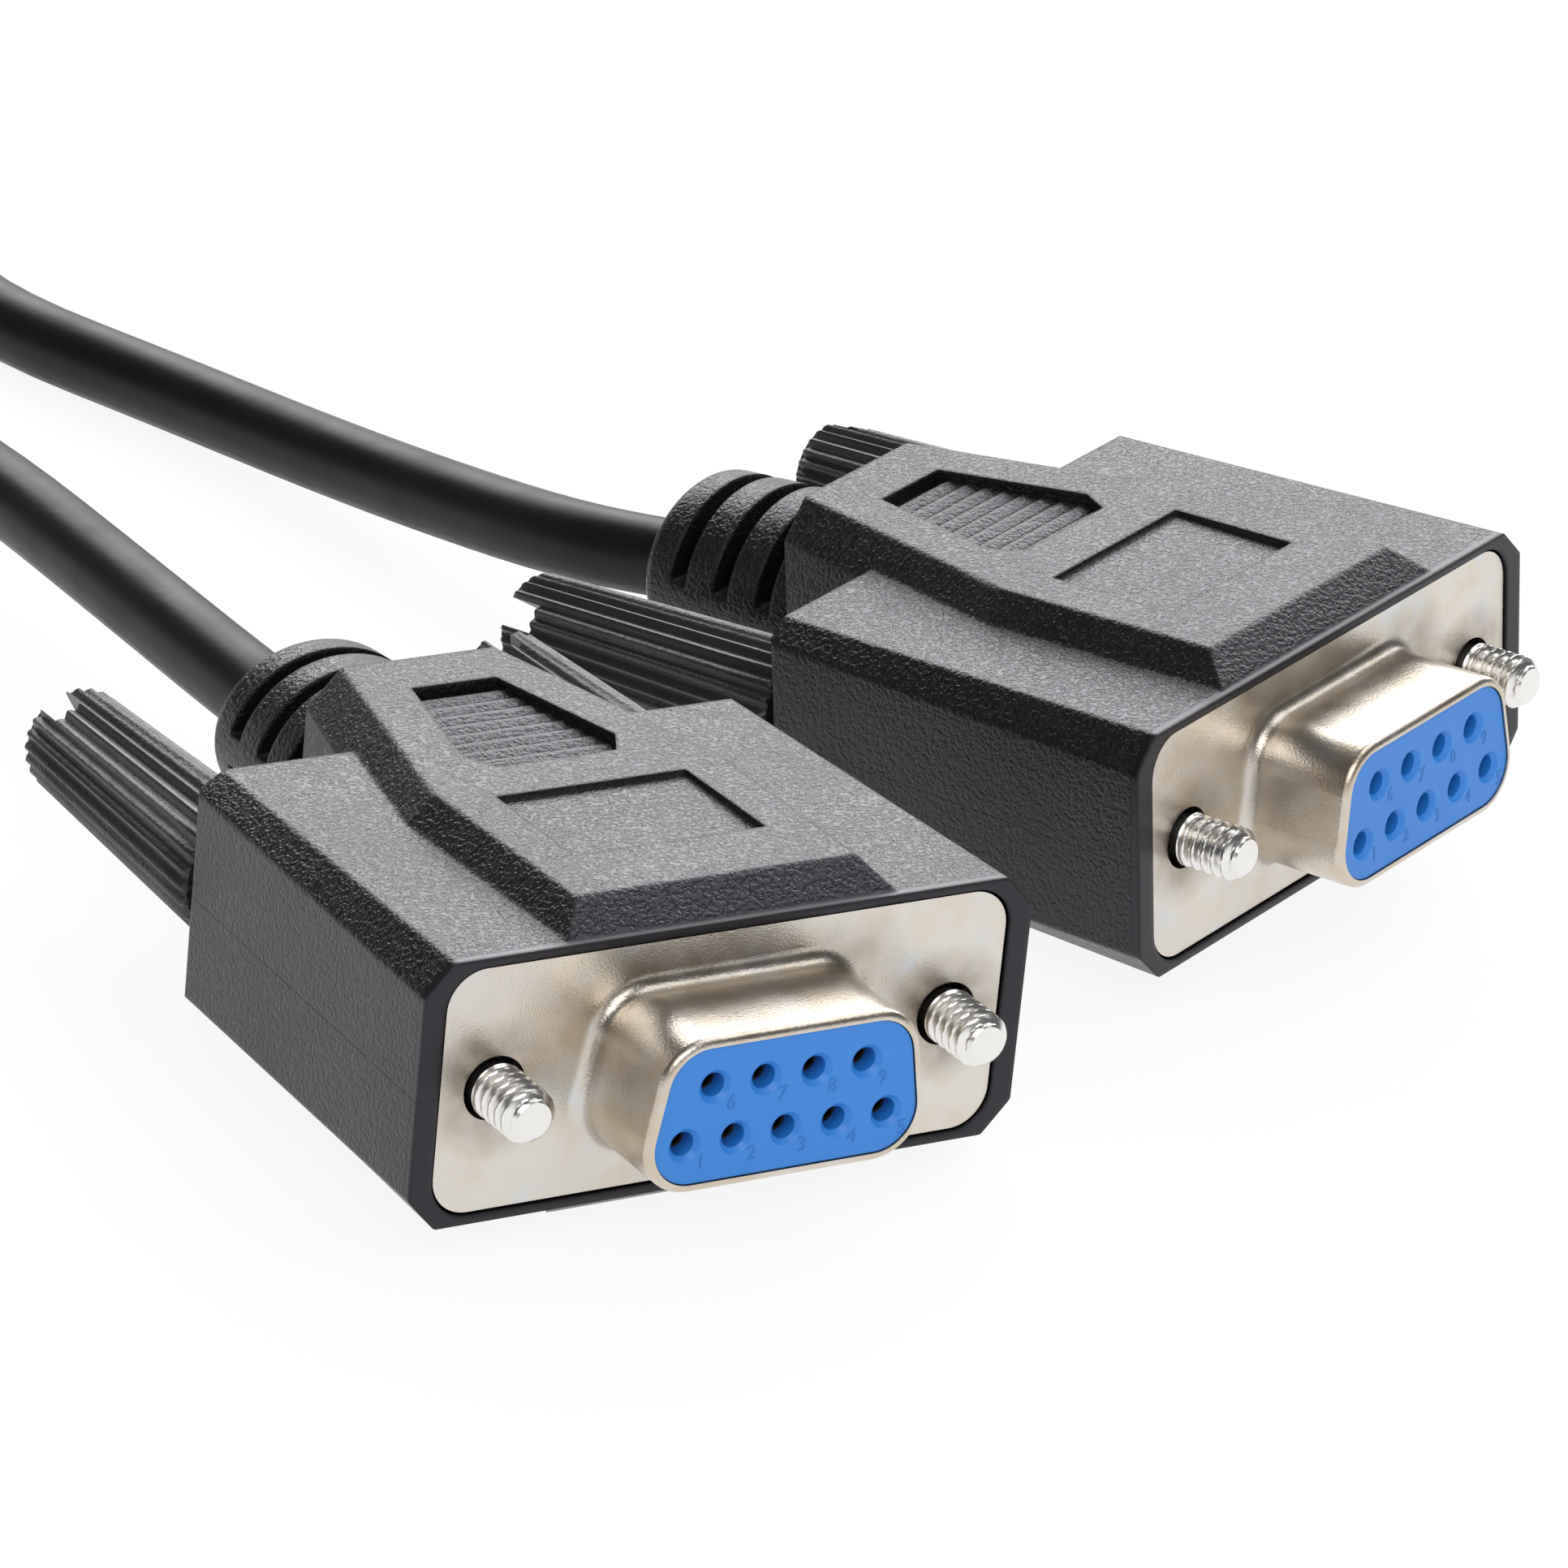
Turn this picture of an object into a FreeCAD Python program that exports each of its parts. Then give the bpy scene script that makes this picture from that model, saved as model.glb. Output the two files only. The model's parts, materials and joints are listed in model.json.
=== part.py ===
import FreeCAD, Part
import Sketcher
import math
import os
import re

# Null modem cable: two moulded nine-way socket connectors with thumbscrews on one round cable.
# Millimetres. Each connector is drawn in its own frame: the flange's front face centre is the
# origin, X runs across the face, Y into the hood and Z up, with the wide row of holes below.

sizes = {
    # hood: front section, wings and their rear face
    "faceHalfWide": 16.73, "faceHalfTall": 6.85, "faceCutAcross": 1.52, "faceCutDown": 1.69,
    "rimProud": 0.15, "wingEnd": 24.7, "wingEndHalfTall": 6.4, "wingEndTopHalf": 14.4,
    "wingEndHalfWide": 15.8, "wingEndCutZ": 5.45, "moldEdge": 0.35,
    # hood: raised crown above and below, narrowing towards the cable
    "crownZ": 8.25, "crownRootZ": 5.84, "crownHalfWide": 7.7, "crownRootHalfWide": 10.1,
    "crownFront": 2.1, "crownRootFront": -1.1, "crownKink": 15.4, "crownEndHalfWide": 4.0,
    "crownEnd": 31.5, "crownRootEndHalfWide": 6.2, "crownDrop": 0.45, "restMiddle": 16.25,
    "shortestEased": 3.0,
    # hood: bare label field and ribbed finger recess
    "labelHalfWide": 5.3, "labelFront": 6.45, "labelEnd": 14.05, "labelDeep": 0.45,
    "fingerFront": 17.4, "fingerShoulder": 19.2, "fingerEnd": 27.85, "fingerFrontHalf": 3.35,
    "fingerShoulderHalf": 4.3, "fingerEndHalf": 2.4, "fingerDeep": 1.35, "fingerRibTall": 0.6,
    "fingerRibPitch": 1.1,
    # hood: grooved strain relief boot
    "bootEnd": 42.5, "bootHalfWide": 5.85, "bootHalfTall": 5.7, "bootEndHalfWide": 5.55,
    "bootEndHalfTall": 4.7, "bootCoreRadius": 3.2, "bootCollar": 1.7, "bootGroove": 1.1, "bootBand": 1.9,
    "bootWebHalfTall": 0.8, "bootTailRound": 0.9, "tailSag": 0.7, "mouthEase": 0.15,
    # shells
    "plateWide": 30.81, "plateTall": 12.55, "plateCorner": 2.0, "plateThick": 0.5, "plateGap": 0.15,
    "holeSpacing": 24.99, "flangeHoleRadius": 1.65, "shellHalfWide": 8.165, "shellHalfTall": 3.95,
    "shellSideAngle": 10.0, "shellCorner": 2.6, "shellProud": 6.1, "shellWall": 0.45,
    "shellFootRound": 0.8, "shellLipRound": 0.4, "panClear": 0.495, "panHalfTall": 5.4,
    "panCorner": 1.5, "panDeep": 4.0, "panGap": 0.05,
    # insulators and contacts
    "insulatorInset": 0.1, "insulatorGap": 0.05, "insulatorSplit": 2.7, "blockHalfWide": 7.4,
    "blockHalfTall": 3.6, "blockEnd": 7.0, "rowHalfGap": 1.42, "contactPitch": 2.77,
    "entryRadius": 0.62, "entryChamfer": 0.25, "entryWeb": 1.2, "contactGap": 0.05,
    "barrelRadius": 0.93, "boreRadius": 0.54, "boreDeep": 5.2, "shoulderRadius": 1.15,
    "shoulderThick": 0.75, "tailRadius": 0.8, "tailEnd": 9.8, "cupRadius": 0.55, "cupDeep": 2.3,
    # inner moulding and conductors
    "mouldHalfWide": 9.2, "mouldHalfTall": 5.2, "mouldNarrow": 16.0, "mouldEnd": 29.0,
    "mouldEndHalfWide": 3.6, "mouldEndHalfTall": 3.6, "mouldWall": 1.1, "sheathStart": 26.0,
    "wireRadius": 0.6, "wireCircle": 1.55, "wireShort": 0.1,
    # jackscrews, thumb grips and retaining clips
    "screwTip": 3.8, "screwChamfer": 0.5, "screwRadius": 1.42, "threadEnd": 0.35,
    "shankRadius": 1.2, "shankGap": 0.08, "shankEnd": 40.0, "clipFront": 2.2, "clipThick": 0.4,
    "clipPlay": 0.05, "clipSeatRadius": 0.85, "clipOuterRadius": 2.1, "clipMouth": 1.2,
    "clipPocketRadius": 2.4, "screwTravel": 3.5, "gripFront": 25.3, "gripEnd": 44.2,
    "gripFrontRadius": 3.5, "gripEndRadius": 2.95, "gripRibTall": 0.55, "gripRibs": 20,
    "slotWide": 1.4, "slotDeep": 2.3,
    # cable
    "cableRadius": 2.25, "coilTurnRadius": 34.5, "coilTurns": 5, "coilLayers": 2,
    "coilCentreX": -3.0, "coilCentreY": 149.0, "coilLeadAngle": 20.0, "coilLead": 18.6, "coilLeadEase": 0.05,
}

# Where the second connector lies: turned, and leaning on the low edge of its hood.
tailPlace = {"x": 46.87, "y": 1.07, "yaw": 19.406, "pitch": -3.24, "roll": -7.089}

# How far each thumb grip's slot is turned from level, in degrees.
slotTurn = {("a", "left"): 64.0, ("a", "right"): 40.0, ("b", "left"): 0.0, ("b", "right"): 78.0}

# The cable's route from each boot towards the coil, chosen by hand.
routeA = [(0.5, 48.5, 7.35), (0.9, 63.7, 7.1), (0.3, 77.5, 6.5), (-6.6, 89.0, 6.0), (-17.2, 98.7, 6.3)]
routeB = [(27.7, 60.0, 4.5), (25.9, 71.85, 3.2), (22.85, 86.35, 2.4), (18.7, 99.2, 2.25)]
leadIn = 12.0

doc = FreeCAD.newDocument("null_modem_cable")
sheet = doc.addObject("Spreadsheet::Sheet", "Sizes")
for row, (name, value) in enumerate(sizes.items(), start=1):
    sheet.set("A%d" % row, name)
    sheet.set("B%d" % row, str(value))
    sheet.setAlias("B%d" % row, name)
doc.recompute()

connector = []
cable = []


def bound(text):
    """Point every size named in an expression at the sheet."""
    return re.sub(r"[A-Za-z]\w*", lambda m: "Sizes." + m[0] if m[0] in sizes else m[0], text)


def keep(thing, label, place=FreeCAD.Placement()):
    """Name a piece of the connector and set it in the connector's own frame."""
    thing.Label = label
    thing.Placement = place
    connector.append(thing)
    return thing


def originPlane(body, role):
    return next(f for f in body.Origin.OriginFeatures if f.Role == role)


def newSketch(body, name, role, at="0"):
    """A sketch on one of the body's own planes; at is the place along Y (XZ), Z (XY) or X (YZ)."""
    sketch = body.newObject("Sketcher::SketchObject", name)
    sketch.AttachmentSupport = (originPlane(body, role), "")
    sketch.MapMode = "FlatFace"
    sign = "-" if role == "XZ_Plane" else ""
    sketch.setExpression("AttachmentOffset.Base.z", bound(sign + "(" + at + ")"))
    return sketch


def fix(sketch, geometry, point, x, y):
    """Hold one point of the sketch at two distances from its origin."""
    start = sketch.getPoint(geometry, point)
    for kind, value, text in (("DistanceX", start.x, x), ("DistanceY", start.y, y)):
        held = sketch.addConstraint(Sketcher.Constraint(kind, -1, 1, geometry, point, value))
        sketch.setExpression("Constraints[%d]" % held, bound(text))


def outline(sketch, corners):
    """A closed outline of straight lines through corners, each a pair of expressions."""
    count = len(corners)
    first = sketch.GeometryCount
    ring = [FreeCAD.Vector(math.cos(2 * math.pi * i / count), math.sin(2 * math.pi * i / count), 0) * 10
            for i in range(count)]
    for i in range(count):
        sketch.addGeometry(Part.LineSegment(ring[i], ring[(i + 1) % count]), False)
    for i in range(count):
        after = first + (i + 1) % count
        sketch.addConstraint(Sketcher.Constraint("Coincident", first + i, 2, after, 1))
    for i, (x, y) in enumerate(corners):
        fix(sketch, first + i, 1, x, y)
    return sketch


def roundCorners(sketch, radius):
    """Round every corner of an outline; the corner points stay where they are held."""
    doc.recompute()
    for i in range(sketch.GeometryCount):
        sketch.fillet(i, 1, 0.1, True, True)
        arc = max(k for k, g in enumerate(sketch.Geometry) if isinstance(g, Part.ArcOfCircle))
        held = sketch.addConstraint(Sketcher.Constraint("Radius", arc, 0.1))
        sketch.setExpression("Constraints[%d]" % held, bound(radius))
    return sketch


def circle(sketch, x, y, radius):
    ring = sketch.addGeometry(Part.Circle(FreeCAD.Vector(1, 1, 0), FreeCAD.Vector(0, 0, 1), 1), False)
    held = sketch.addConstraint(Sketcher.Constraint("Radius", ring, 1))
    sketch.setExpression("Constraints[%d]" % held, bound(radius))
    fix(sketch, ring, 3, x, y)
    return sketch


def oval(sketch, halfWide, halfTall):
    """An ellipse round the sketch's origin, wider than it is tall."""
    across, tall = FreeCAD.Vector(5, 0, 0), FreeCAD.Vector(0, 4, 0)
    ring = sketch.addGeometry(Part.Ellipse(across, tall, FreeCAD.Vector()))
    sketch.exposeInternalGeometry(ring)
    sketch.addConstraint(Sketcher.Constraint("Coincident", ring, 3, -1, 1))
    sketch.addConstraint(Sketcher.Constraint("Horizontal", ring + 1))
    for axis, half, start in ((ring + 1, halfWide, 10.0), (ring + 2, halfTall, 8.0)):
        held = sketch.addConstraint(Sketcher.Constraint("Distance", axis, start))
        sketch.setExpression("Constraints[%d]" % held, bound("2 * " + half))
    return sketch


def rectangle(halfX, halfY):
    return [(halfX, halfY), ("-(%s)" % halfX, halfY), ("-(%s)" % halfX, "-(%s)" % halfY),
            (halfX, "-(%s)" % halfY)]


def box(lowX, highX, lowY, highY):
    return [(highX, highY), (lowX, highY), (lowX, lowY), (highX, lowY)]


def grow(body, kind, name, sketch, length, both=False, away=False):
    """A pad or a pocket of a sketch; away turns it to the other side of the sketch."""
    feature = body.newObject("PartDesign::" + kind, name)
    feature.Profile = sketch
    feature.setExpression("Length", bound(length))
    feature.SideType = "Symmetric" if both else "One side"
    feature.Reversed = away
    return feature


def turn(body, kind, name, sketch, angle="360"):
    """Turn a sketch about the long axis, or cut with it, evenly to both sides of its plane."""
    feature = body.newObject("PartDesign::" + kind, name)
    feature.Profile = sketch
    feature.ReferenceAxis = (sketch, ["H_Axis"])
    feature.Midplane = True
    feature.setExpression("Angle", bound(angle))
    return feature


def loft(body, kind, name, sections):
    feature = body.newObject("PartDesign::" + kind, name)
    feature.Profile = sections[0]
    feature.Sections = sections[1:]
    feature.Ruled = True
    return feature


def easeEdges(body, kind, name, size, wanted):
    """Fillet or chamfer the edges of the body so far that wanted picks."""
    doc.recompute()
    base = body.Tip
    names = ["Edge%d" % (i + 1) for i, edge in enumerate(base.Shape.Edges) if wanted(edge)]
    feature = body.newObject("PartDesign::" + kind, name)
    feature.Base = (base, names)
    feature.setExpression("Radius" if kind == "Fillet" else "Size", bound(size))
    return feature


def middle(edge):
    return edge.CenterOfMass


def tubePath(points):
    """Straight runs joined by tangent arcs, each as large as its two runs allow."""
    edges = []
    here = points[0]
    for before, corner, after in zip(points, points[1:], points[2:]):
        back, ahead = (before - corner), (after - corner)
        shorter = min(back.Length, ahead.Length)
        back.normalize()
        ahead.normalize()
        half = (math.pi - back.getAngle(ahead)) / 2
        reach = 0.45 * shorter
        radius = reach / math.tan(half)
        print("arc radius %.1f at %.1f %.1f %.1f" % (radius, corner.x, corner.y, corner.z))
        start, finish = corner + back * reach, corner + ahead * reach
        inward = back + ahead
        inward.normalize()
        crest = corner + inward * (radius / math.cos(half) - radius)
        edges.append(Part.LineSegment(here, start).toShape())
        edges.append(Part.Arc(start, crest, finish).toShape())
        here = finish
    edges.append(Part.LineSegment(here, points[-1]).toShape())
    return Part.Wire(edges)


# Hood

def wingSection(sketch, halfWide, halfTall, topHalf, cutZ):
    corners = [(halfWide, cutZ), (topHalf, halfTall), ("-" + topHalf, halfTall), ("-" + halfWide, cutZ),
               ("-" + halfWide, "-" + cutZ), ("-" + topHalf, "-" + halfTall), (topHalf, "-" + halfTall),
               (halfWide, "-" + cutZ)]
    return outline(sketch, corners)


def crownOutline(sketch, half, front, kink, endHalf, end):
    return outline(sketch, [(half, front), (half, kink), (endHalf, end), ("-" + endHalf, end),
                            ("-" + half, kink), ("-" + half, front)])


def rootOutline(sketch):
    """Where the crown's slopes meet its foot; behind the wings this is also the neck's plan."""
    crownOutline(sketch, "crownRootHalfWide", "crownRootFront", "crownKink",
                 "crownRootEndHalfWide", "crownEnd")


def addCrown(hood, side):
    """The raised middle of one face: side is 1 on top and -1 underneath."""
    name = "crown" if side > 0 else "under_crown"
    root = newSketch(hood, name + "_root", "XY_Plane", "%d * crownRootZ" % side)
    rootOutline(root)
    face = newSketch(hood, name + "_face", "XY_Plane", "%d * crownZ" % side)
    crownOutline(face, "crownHalfWide", "crownFront", "crownKink", "crownEndHalfWide", "crownEnd")
    return loft(hood, "AdditiveLoft", name, [root, face])


def addFingerRecess(hood, side):
    """A tapered recess in the crown with a row of sawtooth ribs across it."""
    name = "finger" if side > 0 else "under_finger"
    field = newSketch(hood, name + "_field", "XY_Plane", "%d * crownZ" % side)
    outline(field, [("fingerFrontHalf", "fingerFront"), ("fingerShoulderHalf", "fingerShoulder"),
                    ("fingerEndHalf", "fingerEnd"), ("-fingerEndHalf", "fingerEnd"),
                    ("-fingerShoulderHalf", "fingerShoulder"), ("-fingerFrontHalf", "fingerFront")])
    grow(hood, "Pocket", name + "_recess", field, "fingerDeep", away=side < 0)
    count = int((sizes["fingerEnd"] - sizes["fingerFront"]) / sizes["fingerRibPitch"])
    floor = "%d * (crownZ - fingerDeep - 0.2)" % side
    crest = "%d * (crownZ - fingerDeep + fingerRibTall)" % side
    foot = "%d * (crownZ - fingerDeep)" % side
    teeth = []
    for i in range(count):
        start = "fingerFront + %d * fingerRibPitch" % i
        teeth += [(start, foot), (start + " + 0.75 * fingerRibPitch", crest)]
    finish = "fingerFront + %d * fingerRibPitch" % count
    saw = newSketch(hood, name + "_saw", "YZ_Plane")
    outline(saw, teeth + [(finish, foot), (finish, floor), ("fingerFront", floor)])
    return grow(hood, "Pad", name + "_ribs", saw, "2 * fingerShoulderHalf", both=True)


def addBoot(hood):
    """An oval tapered relief: bands round a thin core, joined by a web along each side."""
    rings = [oval(newSketch(hood, "boot_front", "XZ_Plane", "crownEnd - 2"), "bootHalfWide", "bootHalfTall"),
             oval(newSketch(hood, "boot_rear", "XZ_Plane", "bootEnd"), "bootEndHalfWide", "bootEndHalfTall")]
    loft(hood, "AdditiveLoft", "boot", rings)
    easeEdges(hood, "Fillet", "boot_tail", "bootTailRound",
              lambda e: abs(middle(e).y - sizes["bootEnd"]) < 0.01 and e.Length > sizes["bootEndHalfWide"])
    for side in (1, -1):
        cuts = newSketch(hood, "boot_cuts_%d" % (side + 1), "XY_Plane", "%d * bootWebHalfTall" % side)
        for i in range(3):
            low = "crownEnd + bootCollar + %d * (bootGroove + bootBand)" % i
            outline(cuts, box("-2 * bootHalfWide", "2 * bootHalfWide", low, low + " + bootGroove"))
        grow(hood, "Pocket", "boot_grooves_%d" % (side + 1), cuts, "2 * bootHalfTall", away=side > 0)
    core = newSketch(hood, "boot_core", "XZ_Plane", "crownEnd")
    circle(core, "0", "0", "bootCoreRadius")
    grow(hood, "Pad", "boot_core_pad", core, "bootEnd - bootTailRound - crownEnd", away=True)


def moldEdges(edge):
    """The outside edges of the crown and the wings that the mould leaves soft."""
    at = middle(edge)
    if at.y < 0.5 or at.y > sizes["crownEnd"] - 1.0 or edge.Length < sizes["shortestEased"]:
        return False
    onCrown = abs(at.z) > sizes["crownZ"] - sizes["crownDrop"] - 0.1
    onWing = abs(at.x) > sizes["wingEndTopHalf"] - 0.5
    return onCrown or onWing


def makeHood():
    hood = doc.addObject("PartDesign::Body", "hood")
    front = newSketch(hood, "front_section", "XZ_Plane", "-rimProud")
    wingSection(front, "faceHalfWide", "faceHalfTall", "(faceHalfWide - faceCutAcross)",
                "(faceHalfTall - faceCutDown)")
    rear = newSketch(hood, "rear_section", "XZ_Plane", "wingEnd")
    wingSection(rear, "wingEndHalfWide", "wingEndHalfTall", "wingEndTopHalf", "wingEndCutZ")
    loft(hood, "AdditiveLoft", "wings", [front, rear])
    for side in (1, -1):
        addCrown(hood, side)
    neck = newSketch(hood, "neck_plan", "XY_Plane", "-crownRootZ")
    rootOutline(neck)
    grow(hood, "Pad", "neck", neck, "2 * crownRootZ")
    slope = newSketch(hood, "crown_slope", "YZ_Plane")
    outline(slope, [("crownFront", "crownZ"), ("crownEnd + 2", "crownZ - crownDrop"),
                    ("crownEnd + 2", "crownZ + 2"), ("crownFront", "crownZ + 2")])
    grow(hood, "Pocket", "crown_fall", slope, "4 * crownRootHalfWide", both=True)
    nose = newSketch(hood, "nose_plane", "XZ_Plane", "-rimProud")
    outline(nose, rectangle("2 * faceHalfWide", "2 * crownZ"))
    grow(hood, "Pocket", "nose_trim", nose, "4", away=True)
    easeEdges(hood, "Fillet", "soft_edges", "moldEdge", moldEdges)
    addBoot(hood)
    label = newSketch(hood, "label_field", "XY_Plane", "crownZ")
    outline(label, box("-labelHalfWide", "labelHalfWide", "labelFront", "labelEnd"))
    grow(hood, "Pocket", "label_recess", label, "labelDeep")
    for side in (1, -1):
        addFingerRecess(hood, side)
    seat = newSketch(hood, "plate_seat", "XZ_Plane", "-rimProud")
    outline(seat, rectangle("plateWide / 2 + plateGap", "plateTall / 2 + plateGap"))
    roundCorners(seat, "plateCorner + plateGap")
    grow(hood, "Pocket", "plate_recess", seat, "rimProud + 2 * plateThick")
    pan = newSketch(hood, "pan_seat", "XZ_Plane", "plateThick")
    outline(pan, rectangle(panHalfWide + " + panGap", "panHalfTall + panGap"))
    grow(hood, "Pocket", "pan_cavity", pan, "panDeep + plateThick")
    addMouldLoft(hood, "SubtractiveLoft")
    for side in (1, -1):
        axis = newSketch(hood, "screw_way_%d" % (side + 1), "XZ_Plane", "-1")
        circle(axis, "%d * holeSpacing / 2" % side, "0", "shankRadius + shankGap")
        grow(hood, "Pocket", "screw_channel_%d" % (side + 1), axis, "wingEnd + 3")
        ring = newSketch(hood, "clip_way_%d" % (side + 1), "XZ_Plane", "plateThick")
        circle(ring, "%d * holeSpacing / 2" % side, "0", "clipPocketRadius")
        grow(hood, "Pocket", "clip_pocket_%d" % (side + 1), ring,
             "clipFront + clipThick + screwTravel + 2 * clipPlay - plateThick")
    addCableBore(hood)
    return keep(hood, "hood")


def addMouldLoft(body, kind):
    """The inner moulding's outside, which is also the space that it fills in the hood."""
    stations = (("plateThick * 2 + panDeep", "mouldHalfWide", "mouldHalfTall"),
                ("mouldNarrow", "mouldEndHalfWide * 1.6", "mouldHalfTall * 0.85"),
                ("mouldEnd", "mouldEndHalfWide", "mouldEndHalfTall"))
    sections = []
    for i, (at, halfWide, halfTall) in enumerate(stations):
        sketch = newSketch(body, "mould_section_%d" % i, "XZ_Plane", at)
        sections.append(outline(sketch, rectangle(halfWide, halfTall)))
    return loft(body, kind, "mould_form", sections)


# Shells

# The rear shell fits between the two pockets of the retaining clips.
panHalfWide = "holeSpacing / 2 - clipPocketRadius - panClear"


def dOutline(sketch, inset):
    """The shell's D, wide side down, drawn in by inset from the outside."""
    lean = "tan(shellSideAngle * 1deg)"
    half = "(shellHalfWide - %s / cos(shellSideAngle * 1deg)" % inset
    tall = "(shellHalfTall - %s)" % inset
    low = half + " - %s * %s)" % (lean, inset)
    high = half + " - %s * (2 * shellHalfTall - %s))" % (lean, inset)
    outline(sketch, [(high, tall), ("-" + high, tall), ("-" + low, "-" + tall), (low, "-" + tall)])
    return roundCorners(sketch, "shellCorner - " + inset)


def screwHoles(body, at, length):
    holes = newSketch(body, "screw_holes", "XZ_Plane", at)
    for side in ("", "-"):
        circle(holes, side + "holeSpacing / 2", "0", "flangeHoleRadius")
    return grow(body, "Pocket", "screw_holes_cut", holes, length)


def addPlate(body, at):
    plate = newSketch(body, "plate_outline", "XZ_Plane", at)
    roundCorners(outline(plate, rectangle("plateWide / 2", "plateTall / 2")), "plateCorner")
    grow(body, "Pad", "plate", plate, "plateThick", away=True)


def isShellFoot(edge):
    at, slack = middle(edge), 0.2
    inWidth = abs(at.x) < sizes["shellHalfWide"] + slack
    return abs(at.y) < 1e-6 and inWidth and abs(at.z) < sizes["shellHalfTall"] + slack


def isShellLip(edge):
    return abs(middle(edge).y + sizes["shellProud"]) < 1e-6


def makeFrontShell():
    shell = doc.addObject("PartDesign::Body", "front_shell")
    addPlate(shell, "0")
    outer = newSketch(shell, "d_outside", "XZ_Plane")
    dOutline(outer, "0")
    grow(shell, "Pad", "d_wall", outer, "shellProud")
    easeEdges(shell, "Fillet", "d_foot", "shellFootRound", isShellFoot)
    easeEdges(shell, "Fillet", "d_lip", "shellLipRound", isShellLip)
    inner = newSketch(shell, "d_inside", "XZ_Plane", "-shellProud - 1")
    dOutline(inner, "shellWall")
    grow(shell, "Pocket", "d_opening", inner, "shellProud + plateThick + 2")
    screwHoles(shell, "-1", "plateThick + 2")
    return keep(shell, "front_shell")


def makeRearShell():
    shell = doc.addObject("PartDesign::Body", "rear_shell")
    addPlate(shell, "plateThick")
    pan = newSketch(shell, "pan_outside", "XZ_Plane", "2 * plateThick")
    roundCorners(outline(pan, rectangle(panHalfWide, "panHalfTall")), "panCorner")
    grow(shell, "Pad", "pan", pan, "panDeep", away=True)
    hollow = newSketch(shell, "pan_inside", "XZ_Plane", "0")
    outline(hollow, rectangle(panHalfWide + " - shellWall", "panHalfTall - shellWall"))
    roundCorners(hollow, "panCorner - shellWall")
    grow(shell, "Pocket", "pan_hollow", hollow, "2 * plateThick + panDeep - shellWall")
    window = newSketch(shell, "pan_window", "XZ_Plane", "0")
    outline(window, rectangle("blockHalfWide + insulatorGap", "blockHalfTall + insulatorGap"))
    grow(shell, "Pocket", "pan_opening", window, "panDeep + 4")
    screwHoles(shell, "0", "3")
    return keep(shell, "rear_shell")


# Insulators and contacts

contactRows = [(i - 2, -1) for i in range(5)] + [(i - 1.5, 1) for i in range(4)]


def contactCentre(across, up):
    return across * sizes["contactPitch"], up * sizes["rowHalfGap"]


def bores(body, name, at, radius, length, away=False):
    sketch = newSketch(body, name + "_centres", "XZ_Plane", at)
    for across, up in contactRows:
        circle(sketch, "%g * contactPitch" % across, "%d * rowHalfGap" % up, radius)
    return grow(body, "Pocket", name, sketch, length, away=away)


def lipOutline(sketch):
    """Both insulators fill the pan of the rear shell."""
    less = " - shellWall - insulatorGap"
    outline(sketch, rectangle(panHalfWide + less, "panHalfTall" + less))
    return roundCorners(sketch, "panCorner - shellWall")


def makeFrontInsulator():
    insulator = doc.addObject("PartDesign::Body", "front_insulator")
    lip = newSketch(insulator, "lip_outline", "XZ_Plane", "plateThick")
    lipOutline(lip)
    grow(insulator, "Pad", "lip", lip, "insulatorSplit - plateThick", away=True)
    nose = newSketch(insulator, "nose_outline", "XZ_Plane", "plateThick")
    dOutline(nose, "(shellWall + insulatorGap)")
    grow(insulator, "Pad", "nose", nose, "shellProud - insulatorInset + plateThick")
    bores(insulator, "entries", "-shellProud", "entryRadius", "shellProud + insulatorSplit + 1")
    bores(insulator, "barrel_holes", "insulatorSplit", "barrelRadius + contactGap",
          "insulatorSplit + shellProud - insulatorInset - entryWeb", away=True)
    bores(insulator, "shoulder_holes", "insulatorSplit", "shoulderRadius + contactGap",
          "shoulderThick", away=True)
    easeEdges(insulator, "Chamfer", "entry_chamfers", "entryChamfer",
              lambda e: abs(middle(e).y + sizes["shellProud"] - sizes["insulatorInset"]) < 1e-6
              and abs(e.Length - 2 * math.pi * sizes["entryRadius"]) < 1e-3)
    return keep(insulator, "front_insulator")


def makeRearInsulator():
    insulator = doc.addObject("PartDesign::Body", "rear_insulator")
    lip = newSketch(insulator, "lip_outline", "XZ_Plane", "insulatorSplit")
    lipOutline(lip)
    grow(insulator, "Pad", "lip", lip, "2 * plateThick + panDeep - shellWall - insulatorSplit", away=True)
    block = newSketch(insulator, "block_outline", "XZ_Plane", "insulatorSplit")
    outline(block, rectangle("blockHalfWide", "blockHalfTall"))
    grow(insulator, "Pad", "block", block, "blockEnd - insulatorSplit", away=True)
    bores(insulator, "tail_holes", "insulatorSplit - 1", "tailRadius + contactGap", "blockEnd")
    return keep(insulator, "rear_insulator")


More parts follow.
